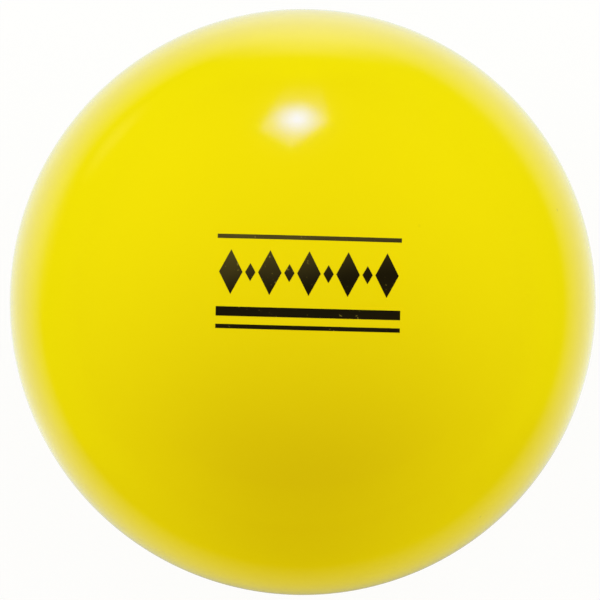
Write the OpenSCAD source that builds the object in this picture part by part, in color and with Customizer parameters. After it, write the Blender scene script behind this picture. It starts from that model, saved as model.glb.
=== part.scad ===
// Field hockey ball: one hollow, smooth-skinned moulding in plasticised PVC.
// Millimetres. The origin is the centre of the ball, and +Z points at its printed side.

/* [Ball] */
// Girth round the widest part of the ball; a match ball measures 224 to 235
girth = 230; // [224:0.5:235]

/* [Moulding] */
// Wall between the skin and the sealed hollow; 9.6 gives 160 g in PVC of 1.3 g/cm3
wall = 9.6; // [8:0.1:12]

/* [Hidden] */
$fn = 128;

yellow_pvc = [0.95, 0.88, 0.05];

ball_d = girth / PI;
hollow_d = ball_d - 2 * wall;

// The whole ball is one piece: an even wall round a hollow that nothing opens.
module ball() {
    color(yellow_pvc)
    difference() {
        sphere(d = ball_d);
        sphere(d = hollow_d);
    }
}

ball();
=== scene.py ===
import math

import bmesh
import bpy
import numpy as np
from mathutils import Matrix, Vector


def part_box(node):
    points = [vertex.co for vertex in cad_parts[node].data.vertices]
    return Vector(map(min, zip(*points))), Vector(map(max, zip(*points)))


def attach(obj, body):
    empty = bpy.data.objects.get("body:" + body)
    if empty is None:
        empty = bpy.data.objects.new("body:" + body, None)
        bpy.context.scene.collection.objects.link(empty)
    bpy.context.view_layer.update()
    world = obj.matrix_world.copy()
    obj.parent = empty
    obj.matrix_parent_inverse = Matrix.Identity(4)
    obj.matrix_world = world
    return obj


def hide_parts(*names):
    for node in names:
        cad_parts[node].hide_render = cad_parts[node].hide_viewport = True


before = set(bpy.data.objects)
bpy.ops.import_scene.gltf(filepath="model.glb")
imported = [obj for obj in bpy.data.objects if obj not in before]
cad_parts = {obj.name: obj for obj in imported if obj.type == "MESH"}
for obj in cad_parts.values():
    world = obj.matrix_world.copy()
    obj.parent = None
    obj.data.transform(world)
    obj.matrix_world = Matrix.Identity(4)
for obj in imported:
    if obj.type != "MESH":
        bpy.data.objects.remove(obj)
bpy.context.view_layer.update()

# The camera looks straight down on the printed side of the ball, from half a metre away, through a
# long lens. The ball nearly fills the square picture, and its middle lies a touch right and low.
CAMERA_HEIGHT = 0.5
LENS = 239.7
SENSOR = 36.0
FRAME_PIXELS = 600
MIDDLE_RIGHT_PIXELS = 2.7
MIDDLE_LOW_PIXELS = 2.0


def put_in_scene(thing):
    bpy.context.scene.collection.objects.link(thing)


camera_data = bpy.data.cameras.new("camera")
camera_data.lens = LENS
camera_data.sensor_width = SENSOR
camera_data.shift_x = -MIDDLE_RIGHT_PIXELS / FRAME_PIXELS
camera_data.shift_y = MIDDLE_LOW_PIXELS / FRAME_PIXELS
camera = bpy.data.objects.new("camera", camera_data)
camera.location = (0, 0, CAMERA_HEIGHT)
put_in_scene(camera)
bpy.context.scene.camera = camera

# The ball is one hollow moulding in yellow plasticised PVC, with a smooth glossy skin. It comes from
# a two-part mould: the trimmed parting line runs round its girth, a quarter turn from the print.
low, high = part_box("ball")
BALL_R = (high.z - low.z) / 2
INK_HEIGHT = 0.000018
SEAM_HALF_WIDTH = 0.00025
SEAM_HEIGHT = 0.000032
SWELL_HEIGHT = 0.00001
SWELL_TURNS = (3.1, 2.3, 2.7)
SWELL_STARTS = (0.7, -0.4, 1.77)
FACE_CELLS = 96
SIDE_ROWS = 170
SEAM_CROWDING = 0.4
MERGE_DIGITS = 6
DEEP_YELLOW = (0.895, 0.728, 0.0003, 1)
PALE_YELLOW = (0.912, 0.752, 0.0006, 1)
GRAIN_YELLOW = (0.885, 0.722, 0.0004, 1)
SEAM_YELLOW = (0.80, 0.655, 0.004, 1)
RUBBED_YELLOW = (0.93, 0.80, 0.02, 1)
NIB_BROWN = (0.20, 0.15, 0.01, 1)
GRAIN_SHARE = 0.35
SEAM_SHARE = 0.35
SEAM_MOTTLE = 0.6
HAIR_SHARE = 0.10
# Each noise in the skin has a scale, a detail and a roughness.
CLOUD_NOISE = (45, 3, 0.5)
GRAIN_NOISE = (420, 2, 0.5)
PEEL_NOISE = (900, 2, 0.45)
RUB_NOISE = (26, 5, 0.62)
RUB_RANGE = (0.56, 0.74)
HAIR_NOISE = (700, 2, 0.5)
HAIR_RANGE = (0.66, 0.76)
HAIR_STRETCH = (1, 0.06, 0.9)
SKIN_RELIEF = 0.000002
PEEL_RISE = 0.5
GRAIN_RISE = 0.3
HAIR_DEPTH = 0.4
NIB_RISE = 5
SKIN_ROUGHNESS = 0.10
CLOUD_ROUGHNESS = 0.02
RUB_ROUGHNESS = 0.015
HAIR_ROUGHNESS = 0.08
SEAM_ROUGHNESS = 0.12
PVC_IOR = 1.5
# Tiny nibs in the skin: how far across and up the printed side, in metres, and how dark.
NIBS = ((0.01366, 0.00893, 0.07), (0.03085, 0.01117, 0.30), (0.02166, -0.02616, 0.30))
NIB_R = 0.00016


def skin_radius(direction):
    """How far the skin is from the ball's centre, along rows of unit vectors."""
    swell = np.prod(np.sin(direction * SWELL_TURNS + SWELL_STARTS), axis=1)
    seam = np.exp(-((direction[:, 2] * BALL_R / SEAM_HALF_WIDTH) ** 2))
    return BALL_R - INK_HEIGHT + SWELL_HEIGHT * (swell - 1) + SEAM_HEIGHT * seam


def cube_side(right, up, out, columns, rows, crowding):
    """One of six curved squares that make a ball: its points as unit vectors, and its cells."""
    u = np.linspace(-1, 1, columns + 1)
    v = np.linspace(-1, 1, rows + 1)
    v = v * (crowding + (1 - crowding) * v * v)
    uu, vv = np.meshgrid(np.tan(u * math.pi / 4), np.tan(v * math.pi / 4))
    points = uu[..., None] * right + vv[..., None] * up + out
    points = points.reshape(-1, 3)
    points /= np.linalg.norm(points, axis=1)[:, None]
    corner = np.arange(rows * (columns + 1)).reshape(rows, columns + 1)[:, :-1].ravel()
    cells = np.stack([corner, corner + 1, corner + columns + 2, corner + columns + 1], axis=1)
    return points, cells


def skin_mesh():
    """The skin as one closed mesh of curved squares, with its rows crowded towards the girth."""
    x_axis, y_axis, z_axis = np.eye(3)
    sides = []
    for quarter in range(4):
        turn = quarter * math.pi / 2
        out = np.array([math.cos(turn), math.sin(turn), 0.0])
        right = np.array([-math.sin(turn), math.cos(turn), 0.0])
        sides.append(cube_side(right, z_axis, out, FACE_CELLS, SIDE_ROWS, SEAM_CROWDING))
    for sign in (1, -1):
        sides.append(cube_side(x_axis, y_axis * sign, z_axis * sign, FACE_CELLS, FACE_CELLS, 1))
    points, cells, count = [], [], 0
    for side_points, side_cells in sides:
        points.append(side_points)
        cells.append(side_cells + count)
        count += len(side_points)
    points = np.concatenate(points)
    cells = np.concatenate(cells)
    rounded = np.round(points, MERGE_DIGITS)
    _, first, same = np.unique(rounded, axis=0, return_index=True, return_inverse=True)
    points = points[first]
    cells = same.ravel()[cells]
    mesh = bpy.data.meshes.new("ball_skin")
    mesh.from_pydata((points * skin_radius(points)[:, None]).tolist(), [], cells.tolist())
    mesh.shade_smooth()
    return mesh


class Shade:
    """One socket in a material's nodes. The signs + - * / on shades add Math nodes."""

    def __init__(self, tree, socket=None):
        self.tree = tree
        self.socket = socket

    def node(self, kind, settings=None, inputs=None, output=0):
        """Any other node: its settings first, then a value or a link for each socket."""
        node = self.tree.nodes.new(kind)
        for name, value in (settings or {}).items():
            setattr(node, name, value)
        for name, value in (inputs or {}).items():
            if isinstance(value, Shade):
                self.tree.links.new(value.socket, node.inputs[name])
            else:
                node.inputs[name].default_value = value
        return Shade(self.tree, node.outputs[output] if node.outputs else None)

    def number(self, operation, first, second):
        return self.node("ShaderNodeMath", {"operation": operation}, {0: first, 1: second})

    def vector(self, operation, *values, output="Vector"):
        settings = {"operation": operation}
        return self.node("ShaderNodeVectorMath", settings, dict(enumerate(values)), output)

    def mix(self, share, first, second):
        """A colour between two colours."""
        inputs = {"Factor": share, "A": first, "B": second}
        return self.node("ShaderNodeMix", {"data_type": "RGBA"}, inputs, "Result")

    def noise(self, place, scale, detail, roughness):
        return self.node("ShaderNodeTexNoise", inputs={
            "Vector": place,
            "Scale": scale,
            "Detail": detail,
            "Roughness": roughness,
        }, output="Fac")

    def smooth(self, value, start, end, at_start, at_end, kind="SMOOTHSTEP"):
        """A value's way from one number to another, with soft ends unless it is linear."""
        return self.node("ShaderNodeMapRange", {"interpolation_type": kind}, {
            "Value": value,
            "From Min": start,
            "From Max": end,
            "To Min": at_start,
            "To Max": at_end,
        })

    def __add__(self, other):
        return self.number("ADD", self, other)

    def __sub__(self, other):
        return self.number("SUBTRACT", self, other)

    def __mul__(self, other):
        return self.number("MULTIPLY", self, other)

    def __truediv__(self, other):
        return self.number("DIVIDE", self, other)

    def __rsub__(self, other):
        return self.number("SUBTRACT", other, self)

    def __rtruediv__(self, other):
        return self.number("DIVIDE", other, self)

    __radd__ = __add__
    __rmul__ = __mul__


def new_material(name):
    """An empty material, and a shade that adds nodes to it."""
    material = bpy.data.materials.new(name)
    material.use_nodes = True
    material.node_tree.nodes.clear()
    return material, Shade(material.node_tree)


def finish_material(shade, surface):
    shade.node("ShaderNodeOutputMaterial", inputs={"Surface": surface})


def glossy_yellow_pvc():
    material, start = new_material("yellow_pvc")
    place = start.node("ShaderNodeTexCoord", output="Object")
    cloud = start.noise(place, *CLOUD_NOISE)
    grain = start.noise(place, *GRAIN_NOISE)
    peel = start.noise(place, *PEEL_NOISE)
    rub = start.smooth(start.noise(place, *RUB_NOISE), *RUB_RANGE, 0, 1)
    hair_place = start.vector("MULTIPLY", place, HAIR_STRETCH)
    hair = start.smooth(start.noise(hair_place, *HAIR_NOISE), *HAIR_RANGE, 0, 1) * rub
    nib = 0
    for x, y, share in NIBS:
        centre = (x, y, math.sqrt(BALL_R ** 2 - x * x - y * y))
        away = start.vector("DISTANCE", place, centre, output="Value")
        nib = start.smooth(away, 0, 2 * NIB_R, share, 0) + nib
    girth_place = start.vector("MULTIPLY", place, (0, 0, 1))
    from_girth = start.vector("LENGTH", girth_place, output="Value")
    trimmed = start.smooth(from_girth, SEAM_HALF_WIDTH / 2, SEAM_HALF_WIDTH * 2, 1, 0)
    clouded = start.mix(cloud, DEEP_YELLOW, PALE_YELLOW)
    grained = start.mix(grain * GRAIN_SHARE, clouded, GRAIN_YELLOW)
    seamed = start.mix(trimmed * (SEAM_SHARE + grain * SEAM_MOTTLE), grained, SEAM_YELLOW)
    rubbed = start.mix(hair * HAIR_SHARE, seamed, RUBBED_YELLOW)
    roughness = SKIN_ROUGHNESS + cloud * CLOUD_ROUGHNESS + rub * RUB_ROUGHNESS
    relief = start.node("ShaderNodeBump", inputs={
        "Distance": SKIN_RELIEF,
        "Height": peel * PEEL_RISE + grain * GRAIN_RISE - hair * HAIR_DEPTH + nib * NIB_RISE,
    })
    surface = start.node("ShaderNodeBsdfPrincipled", inputs={
        "Base Color": start.mix(nib, rubbed, NIB_BROWN),
        "Roughness": roughness + hair * HAIR_ROUGHNESS + trimmed * SEAM_ROUGHNESS,
        "IOR": PVC_IOR,
        "Normal": relief,
    })
    finish_material(start, surface)
    return material


ball = bpy.data.objects.new("ball_skin", skin_mesh())
put_in_scene(ball)
ball.data.materials.append(glossy_yellow_pvc())
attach(ball, "root")
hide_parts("ball")

# The print is a thin film of satin black-brown ink, pad-printed on the side that faces up: a row of
# plain lozenges between rules. It has small pinholes, and it is greyer towards its top.
PRINT_X = 0.0007
PRINT_Y = 0.0022
PRINT_TURN = -1.5
LOZENGE_COUNT = 5
LOZENGE_PITCH = 0.00455
LOZENGE_Y = 0.0011
LOZENGE_HALF = (0.00137, 0.0026)
SMALL_LOZENGE_HALF = (0.0006, 0.00105)
LOZENGE_STEPS = 5
RULE_LENGTH = 0.0215
FINE_RULE = 0.0005
THICK_RULE = 0.0011
TOP_RULE_Y = 0.00525
THICK_RULE_Y = -0.0035
LOW_RULE_Y = -0.00525
RULE_STEPS = 30
INK_RINGS = 5
INK_DEPTH = 0.00001
MERGE_DISTANCE = 0.000001
SHARP_EDGE = 40
INK_BLACK = (0.008, 0.005, 0.0006, 1)
INK_BROWN = (0.018, 0.0112, 0.001, 1)
INK_GREY = (0.092, 0.069, 0.010, 1)
PINHOLE_YELLOW = (0.45, 0.36, 0.06, 1)
BLOT_NOISE = (160, 4, 0.55)
PINHOLE_NOISE = (2600, 2, 0.5)
PINHOLE_RANGE = (0.69, 0.74)
PINHOLE_SHARE = 0.5
GREY_SIDE = (-0.17, 0.985, 0)
GREY_RANGE = (0.0011, 0.0081)
GREY_SHARE = 0.35
GREY_MOTTLE = 0.9
INK_RELIEF = 0.000004
INK_ROUGHNESS = 0.34
BLOT_ROUGHNESS = 0.14
INK_IOR = 1.45


def lozenge(centre_x, centre_y, half_width, half_height):
    """A lozenge, as the points of its outline and the middle that each of them grows from."""
    corners = [(half_width, 0), (0, half_height), (-half_width, 0), (0, -half_height)]
    outline = []
    for (ax, ay), (bx, by) in zip(corners, corners[1:] + corners[:1]):
        for step in range(LOZENGE_STEPS):
            share = step / LOZENGE_STEPS
            outline.append((centre_x + ax + (bx - ax) * share, centre_y + ay + (by - ay) * share))
    return outline, [(centre_x, centre_y)] * len(outline)


def rule(centre_y, thickness):
    """A straight rule with square ends, as points of its outline and of its middle line."""
    half = RULE_LENGTH / 2
    along = [half - RULE_LENGTH * step / RULE_STEPS for step in range(RULE_STEPS + 1)]
    top_edge = [(x, centre_y + thickness / 2) for x in along]
    outline = top_edge + [(x, centre_y - thickness / 2) for x in reversed(along)]
    inset = half - thickness / 2
    spine = [(max(-inset, min(inset, x)), centre_y) for x, _ in outline]
    return outline, spine


def ink_film(name, shapes):
    """Lays flat shapes on the ball as one closed film, a little proud of the skin and sunk into it."""
    turn = math.radians(PRINT_TURN)
    mesh_maker = bmesh.new()
    for outline, spine in shapes:
        outline, spine = np.array(outline), np.array(spine)
        layers = []
        for lift in (INK_HEIGHT, -INK_DEPTH):
            rings = []
            for ring in range(INK_RINGS + 1):
                flat = spine + (outline - spine) * ring / INK_RINGS
                x = PRINT_X + flat[:, 0] * math.cos(turn) - flat[:, 1] * math.sin(turn)
                y = PRINT_Y + flat[:, 0] * math.sin(turn) + flat[:, 1] * math.cos(turn)
                outward = np.stack([x, y, np.sqrt(BALL_R ** 2 - x * x - y * y)], axis=1) / BALL_R
                points = outward * (skin_radius(outward) + lift)[:, None]
                rings.append([mesh_maker.verts.new(point) for point in points])
            layers.append(rings)
        count = len(outline)
        top, bottom = layers
        for here in range(count):
            there = (here + 1) % count
            for rings in layers:
                for inner, outer in zip(rings, rings[1:]):
                    mesh_maker.faces.new((inner[here], outer[here], outer[there], inner[there]))
            mesh_maker.faces.new((top[-1][here], bottom[-1][here], bottom[-1][there], top[-1][there]))
    bmesh.ops.remove_doubles(mesh_maker, verts=mesh_maker.verts, dist=MERGE_DISTANCE)
    bmesh.ops.recalc_face_normals(mesh_maker, faces=mesh_maker.faces)
    mesh = bpy.data.meshes.new(name)
    mesh_maker.to_mesh(mesh)
    mesh_maker.free()
    mesh.shade_smooth()
    mesh.set_sharp_from_angle(angle=math.radians(SHARP_EDGE))
    return mesh


def satin_ink():
    material, start = new_material("print_ink")
    place = start.node("ShaderNodeTexCoord", output="Object")
    blot = start.noise(place, *BLOT_NOISE)
    pinhole = start.smooth(start.noise(place, *PINHOLE_NOISE), *PINHOLE_RANGE, 0, 1)
    to_top = start.vector("DOT_PRODUCT", place, GREY_SIDE, output="Value")
    greyed = start.smooth(to_top, *GREY_RANGE, 0, 1)
    dark = start.mix(blot, INK_BLACK, INK_BROWN)
    greyer = start.mix(greyed * (GREY_SHARE + blot * GREY_MOTTLE), dark, INK_GREY)
    relief = start.node("ShaderNodeBump", inputs={"Distance": INK_RELIEF, "Height": blot - pinhole})
    surface = start.node("ShaderNodeBsdfPrincipled", inputs={
        "Base Color": start.mix(pinhole * PINHOLE_SHARE, greyer, PINHOLE_YELLOW),
        "Roughness": INK_ROUGHNESS + blot * BLOT_ROUGHNESS,
        "IOR": INK_IOR,
        "Normal": relief,
    })
    finish_material(start, surface)
    return material


places = [LOZENGE_PITCH * (number - (LOZENGE_COUNT - 1) / 2) for number in range(LOZENGE_COUNT)]
gaps = [place + LOZENGE_PITCH / 2 for place in places[:-1]]
lozenges = [lozenge(place, LOZENGE_Y, *LOZENGE_HALF) for place in places]
lozenges += [lozenge(gap, LOZENGE_Y, *SMALL_LOZENGE_HALF) for gap in gaps]
rules = [rule(TOP_RULE_Y, FINE_RULE), rule(THICK_RULE_Y, THICK_RULE), rule(LOW_RULE_Y, FINE_RULE)]
ink = satin_ink()
for name, shapes in (("print_lozenges", lozenges), ("print_rules", rules)):
    film = bpy.data.objects.new(name, ink_film(name, shapes))
    put_in_scene(film)
    film.data.materials.append(ink)
    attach(film, "root")

# The floor is a large sheet of white paper. Seen straight on it is plain white with a light shadow.
# The skin mirrors a glow painted on the paper: painted light near the ball, less of it on the side
# that the ball shades, which is a painted shadow, and painted dim warm light further out, beyond that
# shadow.
FLOOR_HALF = 1.5
LIT_MIDDLE_Y = 0.0097
LIT_FULL_R = 0.055
LIT_END_R = 0.118
LIT_GLOW = 1.03
LIT_TINT = (0.85, 0.92, 1)
# Painted brighter spots of light on the paper: the place of each, its half width and half depth, and
# its glow.
LIT_SPOTS = (
    (0.004, 0.1185, 0.056, 0.083, 0.78),
    (-0.125, 0.108, 0.0415, 0.0415, 0.19),
    (-0.098, 0.028, 0.050, 0.045, 0.18),
    (0.075, 0.065, 0.055, 0.055, 0.10),
)
WARM_SPOTS = (
    (0, 0.20, 0.15, 0.15, 0.34),
    (0, 0.45, 0.12, 0.35, 0.65),
)
SHADE_AZIMUTH = 274.5
SHADE_START = 0.39
SHADE_LEAST = 0.30
WARM_GLOW = 0.31
WARM_TINT = (0.85, 1, 0)
WARM_START_R = 0.078
WARM_FULL_R = 0.108
WARM_FADE_R = 0.14
WARM_END_R = 0.50
SHADOW_SIDES = (0.35, 0.85)
SHADOW_START_R = 0.08
SHADOW_FULL_R = 0.19
PAPER_WHITE = (1, 1, 1, 1)
PAPER_BOUNCE = (0.50, 0.50, 0.50, 1)
PLAIN_SHARE = 0.92


def seen_and_mirrored(shade):
    """1 where the camera itself sees a thing, and 1 where it is seen in gloss or through glass."""
    seen = shade.node("ShaderNodeLightPath", output="Is Camera Ray")
    glossy = shade.node("ShaderNodeLightPath", output="Is Glossy Ray")
    through = shade.node("ShaderNodeLightPath", output="Is Transmission Ray")
    return seen, glossy + through


def with_spots(shade, flat, glow, spots):
    """Adds soft oval spots of painted light to the glow of the sheet."""
    for x, y, half_width, half_depth, spot_glow in spots:
        from_spot = shade.vector("SUBTRACT", flat, (x, y, 0))
        out = shade.vector("MULTIPLY", from_spot, (1 / half_width, 1 / half_depth, 0))
        glow = glow + shade.smooth(shade.vector("LENGTH", out, output="Value"), 0, 1, spot_glow, 0)
    return glow


def white_sheet():
    material, start = new_material("white_sheet")
    place = start.node("ShaderNodeNewGeometry", output="Position")
    flat = start.vector("MULTIPLY", place, (1, 1, 0))
    across = start.vector("LENGTH", flat, output="Value")
    shade_angle = math.radians(SHADE_AZIMUTH)
    shade_side = (math.cos(shade_angle), math.sin(shade_angle), 0)
    lean = start.vector("DOT_PRODUCT", flat, shade_side, output="Value") / across
    from_middle = start.vector("DISTANCE", flat, (0, LIT_MIDDLE_Y, 0), output="Value")
    lit = start.smooth(from_middle, LIT_FULL_R, LIT_END_R, LIT_GLOW, 0, "LINEAR")
    lit = lit * start.smooth(lean, SHADE_START, 1, 1, SHADE_LEAST, "LINEAR")
    lit = with_spots(start, flat, lit, LIT_SPOTS)
    shadow = start.smooth(lean, *SHADOW_SIDES, 0, 1)
    warm_start = WARM_START_R + shadow * SHADOW_START_R
    warm_full = WARM_FULL_R + shadow * SHADOW_FULL_R
    warm = start.smooth(across, warm_start, warm_full, 0, WARM_GLOW, "LINEAR")
    warm = warm * start.smooth(across, WARM_FADE_R, WARM_END_R, 1, 0, "LINEAR")
    warm = with_spots(start, flat, warm, WARM_SPOTS)
    # The glow that the gloss sees is painted light and painted shadow, not lit by the lamps; the
    # camera sees plain white.
    lit_colour = start.vector("MULTIPLY", lit, LIT_TINT)
    glow = start.vector("ADD", lit_colour, start.vector("MULTIPLY", warm, WARM_TINT))
    seen, mirrored = seen_and_mirrored(start)
    paper_colour = start.mix(seen, PAPER_BOUNCE, PAPER_WHITE)
    surface = start.node("ShaderNodeMixShader", inputs={
        0: seen * PLAIN_SHARE + mirrored,
        1: start.node("ShaderNodeBsdfDiffuse", inputs={"Color": paper_colour}),
        2: start.node("ShaderNodeEmission", inputs={"Color": start.mix(seen, glow, PAPER_WHITE)}),
    })
    finish_material(start, surface)
    return material


floor_mesh = bpy.data.meshes.new("floor")
floor_corners = [(-1, -1), (1, -1), (1, 1), (-1, 1)]
floor_points = [(x * FLOOR_HALF, y * FLOOR_HALF, -BALL_R) for x, y in floor_corners]
floor_mesh.from_pydata(floor_points, [], [range(len(floor_points))])
floor_mesh.materials.append(white_sheet())
floor = bpy.data.objects.new("floor", floor_mesh)
put_in_scene(floor)

# The room shows white behind the sheet. It gives the ball an even, warm light from above, and the
# glossy skin mirrors it only faintly, because the real room is dark above the ball.
ROOM_WHITE = (1, 1, 1, 1)
ROOM_LIGHT = (0.628, 0.500, 0.378, 1)
ROOM_DARK = (0.02, 0.02, 0.006, 1)

world = bpy.data.worlds.new("room")
world.use_nodes = True
world.node_tree.nodes.clear()
room = Shade(world.node_tree)
seen, mirrored = seen_and_mirrored(room)
room_colour = room.mix(seen, room.mix(mirrored, ROOM_LIGHT, ROOM_DARK), ROOM_WHITE)
room_surface = room.node("ShaderNodeBackground", inputs={"Color": room_colour})
room.node("ShaderNodeOutputWorld", inputs={"Surface": room_surface})
bpy.context.scene.world = world

# The lamps. Cool daylight comes from two windows beyond the top of the picture and from both sides,
# and a white card that lies on the sheet lifts the ball's lower edge. The skin doesn't mirror them.
DAYLIGHT = (0.765, 1, 1)
WINDOW_DISTANCE = 1
# Each window's azimuth, elevation and half angle in degrees, and the share of full light it gives.
WINDOWS = {
    "window_left": (125, 35, 28, 0.325),
    "window_right": (55, 35, 28, 0.338),
    "side_left": (180, 14, 12, 0.332),
    "side_right": (0, 14, 12, 0.300),
}
CARD_TINT = (0.86, 1, 1)
CARD_WIDTH = 0.30
CARD_DEPTH = 0.12
CARD_Y = -0.12
CARD_GLOW = 2.36
CARD_LIFT = 0.002


def aim(thing, azimuth, elevation, distance):
    """Places a lamp or card so that it faces the ball. Azimuth is counted from +X towards +Y."""
    a, e = math.radians(azimuth), math.radians(elevation)
    out = Vector((math.cos(a) * math.cos(e), math.sin(a) * math.cos(e), math.sin(e)))
    thing.location = out * distance
    thing.rotation_euler = out.to_track_quat("Z", "Y").to_euler()
    put_in_scene(thing)


def hidden_lamp(name, shape, width, depth, energy, tint):
    """A lamp that lights what is matt, and that neither the camera nor the gloss sees."""
    data = bpy.data.lights.new(name, "AREA")
    data.shape = shape
    data.size = width
    data.size_y = depth
    data.energy = energy
    data.color = tint
    data.cycles.use_multiple_importance_sampling = False
    lamp = bpy.data.objects.new(name, data)
    lamp.visible_camera = False
    lamp.visible_glossy = False
    return lamp


def window(name, azimuth, elevation, half_angle, share):
    """A round window that lights the ball from a side."""
    disc = 2 * WINDOW_DISTANCE * math.tan(math.radians(half_angle))
    energy = share * (math.pi * WINDOW_DISTANCE) ** 2
    lamp = hidden_lamp(name, "DISK", disc, disc, energy, DAYLIGHT)
    aim(lamp, azimuth, elevation, WINDOW_DISTANCE)


for window_name, place_and_share in WINDOWS.items():
    window(window_name, *place_and_share)
card_energy = CARD_GLOW * math.pi * CARD_WIDTH * CARD_DEPTH
card = hidden_lamp("low_card", "RECTANGLE", CARD_WIDTH, CARD_DEPTH, card_energy, CARD_TINT)
card.location = (0, CARD_Y, CARD_LIFT - BALL_R)
card.rotation_euler = (math.pi, 0, 0)
put_in_scene(card)

# Two cards that only the skin's gloss sees. The highlight is a softbox beyond the top of the picture,
# seen as a kite: hot in its middle, with dimmer cloth round it that fades towards its foot. A long,
# dim, warm board stands beyond the bottom of the picture. Their tints suit the yellow, not the ink.
SOFTBOX_AZIMUTH = 91.8
SOFTBOX_ELEVATION = 16.9
SOFTBOX_DISTANCE = 0.8
SOFTBOX_CORNERS = ((0.026, 0.180), (0.157, 0.041), (-0.069, -0.507), (-0.131, 0.018))
SOFTBOX_TINT = (0.06, 0.20, 1)
HOT_HALF = (0.122, 0.136)
HOT_GLOW = 24.2
HOT_FALL = 1.35
CLOTH_GLOW = 2.9
CLOTH_FOOT = 0.30
BOARD_Y = -0.5
BOARD_HALF = 0.8
BOARD_TOP = 0.135
BOARD_EDGE = 0.024
BOARD_GLOW = 0.40


def softbox_cloth():
    material, start = new_material("softbox_cloth")
    place = start.node("ShaderNodeTexCoord", output="Object")
    hot_width, hot_height = HOT_HALF
    out = start.vector("MULTIPLY", place, (1 / hot_width, 1 / hot_height, 0))
    hot = start.smooth(start.vector("LENGTH", out, output="Value"), 0, 1, 1, 0, "LINEAR")
    up = start.vector("DOT_PRODUCT", place, (0, 1, 0), output="Value")
    cloth = start.smooth(up, -CLOTH_FOOT, 0, 0, 1, "LINEAR")
    glow = start.number("POWER", hot, HOT_FALL) * HOT_GLOW + cloth * cloth * CLOTH_GLOW
    colour = start.vector("MULTIPLY", glow, SOFTBOX_TINT)
    finish_material(start, start.node("ShaderNodeEmission", inputs={"Color": colour}))
    return material


def warm_board():
    material, start = new_material("warm_board")
    place = start.node("ShaderNodeTexCoord", output="Object")
    along = start.vector("MULTIPLY", place, (1, 0, 0))
    side = start.vector("LENGTH", along, output="Value")
    up = start.vector("DOT_PRODUCT", place, (0, 0, 1), output="Value")
    middle = start.smooth(side, 0, BOARD_HALF, BOARD_GLOW, 0)
    edge = start.smooth(up, BOARD_TOP - BOARD_EDGE / 2, BOARD_TOP + BOARD_EDGE / 2, 1, 0)
    colour = start.vector("MULTIPLY", middle * edge, WARM_TINT)
    finish_material(start, start.node("ShaderNodeEmission", inputs={"Color": colour}))
    return material


skin_only = bpy.data.collections.new("skin_only")
skin_only.objects.link(ball)


def gloss_card(name, corners, material):
    """A flat glowing card that is seen only in the skin's gloss."""
    mesh = bpy.data.meshes.new(name)
    mesh.from_pydata(corners, [], [range(len(corners))])
    mesh.materials.append(material)
    glowing = bpy.data.objects.new(name, mesh)
    glowing.visible_camera = False
    glowing.visible_diffuse = False
    glowing.visible_shadow = False
    glowing.light_linking.receiver_collection = skin_only
    return glowing


softbox = gloss_card("softbox", [(x, y, 0) for x, y in SOFTBOX_CORNERS], softbox_cloth())
aim(softbox, SOFTBOX_AZIMUTH, SOFTBOX_ELEVATION, SOFTBOX_DISTANCE)
board_corners = [(-BOARD_HALF, -BALL_R), (BOARD_HALF, -BALL_R),
                 (BOARD_HALF, BOARD_TOP + BOARD_EDGE), (-BOARD_HALF, BOARD_TOP + BOARD_EDGE)]
board = gloss_card("board", [(x, BOARD_Y, z) for x, z in board_corners], warm_board())
put_in_scene(board)

bpy.context.scene.view_settings.view_transform = "Standard"
